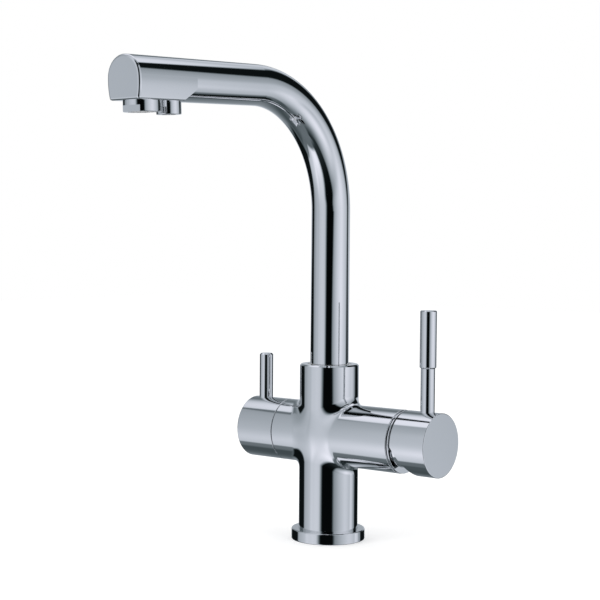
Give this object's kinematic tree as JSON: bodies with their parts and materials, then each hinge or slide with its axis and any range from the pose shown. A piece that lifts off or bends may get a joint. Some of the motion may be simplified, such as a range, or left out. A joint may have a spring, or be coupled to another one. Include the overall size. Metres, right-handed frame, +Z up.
{
  "type": "three-way kitchen tap",
  "caption": "Chrome three-way kitchen tap for hot, cold and filtered water, with a swivel spout and two lever handles.",
  "frame": {"origin": "centre of the round foot, on the sink deck's top face", "axes": "+Z up the column, spout towards -Y, mixer handle on +X, filter handle on -X"},
  "size_m": [0.166, 0.2383, 0.3365],
  "materials": {
    "polished_chrome": "mirror-polished chrome plate",
    "brass": "turned, unplated",
    "stainless_steel": "plain machined",
    "black_rubber": "matt",
    "white_plastic": "moulded, satin",
    "grey_plastic": "moulded, satin",
    "ceramic": "lapped smooth"
  },
  "bodies": {
    "tap_body": {"body_casting": "polished_chrome", "inlet_block": "brass", "base_flange": "polished_chrome", "base_gasket": "black_rubber", "spout_bush": "white_plastic", "spout_latch_screw": "stainless_steel", "cartridge_base": "grey_plastic", "cartridge_port_seals": "black_rubber", "fixed_ceramic_disc": "ceramic", "cartridge_shell": "grey_plastic", "cartridge_nut": "brass", "dome_ring": "polished_chrome", "filter_valve_seal": "black_rubber", "filter_fixed_disc": "ceramic", "filter_valve_body": "brass"},
    "spout": {"spout_tube": "polished_chrome", "spout_foot": "brass", "spout_o_rings": "black_rubber", "filter_hose": "white_plastic", "filter_connector": "brass", "connector_o_ring": "black_rubber", "connector_spider": "white_plastic", "spout_head": "polished_chrome", "aerator_housing": "polished_chrome", "aerator_insert": "white_plastic", "aerator_washer": "black_rubber", "filter_nozzle": "polished_chrome", "nozzle_insert": "white_plastic", "nozzle_washer": "black_rubber"},
    "mixer_rotor": {"cartridge_rotor": "grey_plastic", "pivot_pin": "stainless_steel"},
    "mixer_lever_body": {"mixer_spindle": "brass", "mixer_handle": "polished_chrome", "mixer_lever": "polished_chrome", "mixer_lever_grip": "polished_chrome", "mixer_grub_screw": "stainless_steel"},
    "mixer_disc": {"moving_ceramic_disc": "ceramic", "disc_carrier": "grey_plastic"},
    "filter_knob": {"filter_moving_disc": "ceramic", "filter_spindle": "brass", "filter_spindle_seals": "black_rubber", "filter_circlip": "stainless_steel", "filter_handle": "polished_chrome", "filter_lever": "polished_chrome", "filter_grub_screw": "stainless_steel"}
  },
  "joints": [
    {"name": "spout_swivel", "type": "hinge", "parent": "tap_body", "child": "spout", "pos_m": [0, 0, 0.12], "axis": [0, 0, 1], "continuous": true},
    {"name": "mixer_turn", "type": "hinge", "parent": "tap_body", "child": "mixer_rotor", "pos_m": [0.062, 0, 0.077], "axis": [1, 0, 0], "range_deg": [-50, 50]},
    {"name": "mixer_tilt", "type": "hinge", "parent": "mixer_rotor", "child": "mixer_lever_body", "pos_m": [0.062, 0, 0.077], "axis": [0, 1, 0], "range_deg": [0, 25]},
    {"name": "disc_slide", "type": "slide", "parent": "mixer_rotor", "child": "mixer_disc", "axis": [0, 0, 1], "range_m": [0, 0.0038]},
    {"name": "filter_turn", "type": "hinge", "parent": "tap_body", "child": "filter_knob", "pos_m": [-0.05, 0, 0.077], "axis": [1, 0, 0], "range_deg": [0, 90]}
  ],
  "couplings": [
    {"joint": "disc_slide", "follows": "mixer_tilt", "m_per_rad": 0.0087171}
  ]
}
